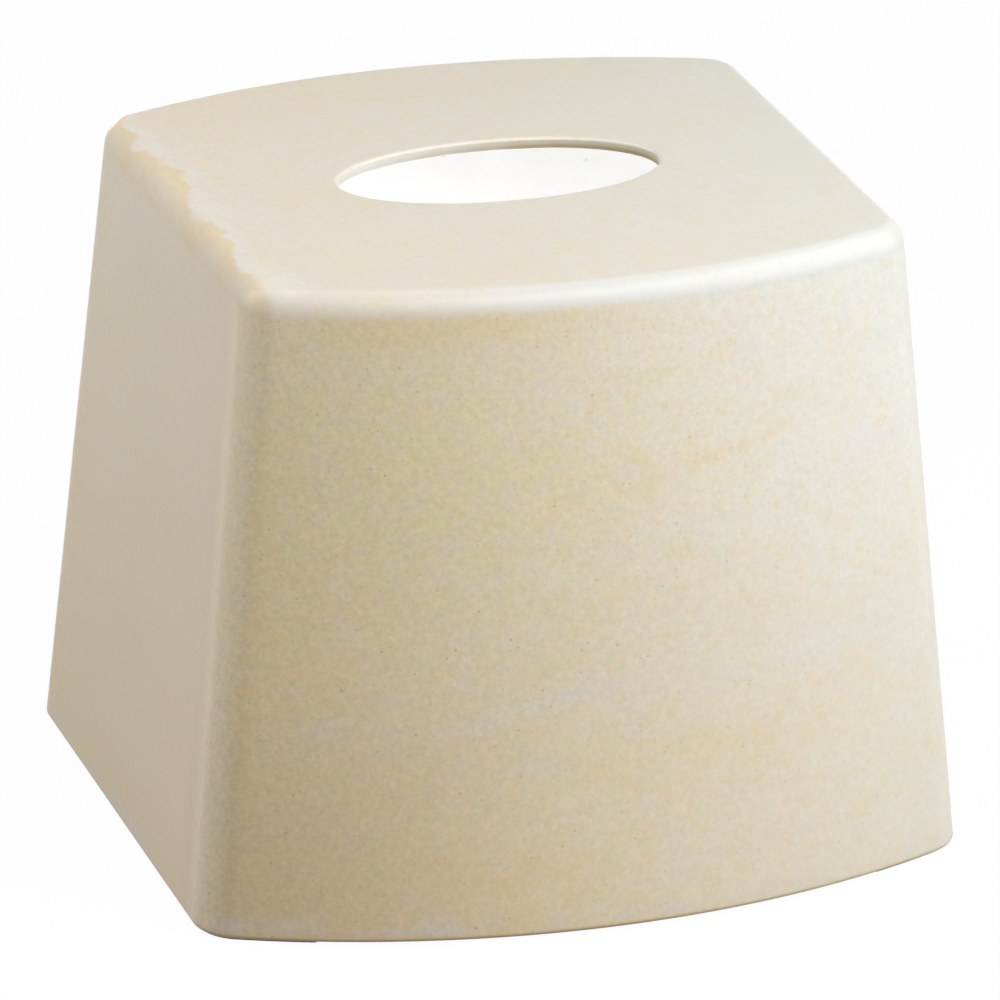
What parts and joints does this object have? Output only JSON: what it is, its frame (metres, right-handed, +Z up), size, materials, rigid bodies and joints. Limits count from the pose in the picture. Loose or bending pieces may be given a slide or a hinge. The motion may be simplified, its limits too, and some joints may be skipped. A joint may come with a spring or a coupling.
{
  "type": "tissue box cover",
  "caption": "Square drop-over tissue box cover with bowed front and back walls that lean in, a rolled top edge, an oval dispensing slot and soft corner pads under its open base.",
  "frame": {"origin": "middle of the plan, under the middle of the oval slot, on the surface that the pads stand on", "axes": "+Z up through the slot, +X to the right along the slot's length, and the front bowed wall faces -Y"},
  "size_m": [0.1648, 0.1648, 0.1364],
  "materials": {
    "cast_stone": "satin cream sandstone effect, cast in resin and stone powder",
    "soft_pad": "matt brown-grey soft rubber film"
  },
  "bodies": {
    "root": {"cover_shell": "cast_stone", "pad_front_left": "soft_pad", "pad_front_right": "soft_pad", "pad_rear_left": "soft_pad", "pad_rear_right": "soft_pad"}
  },
  "joints": []
}
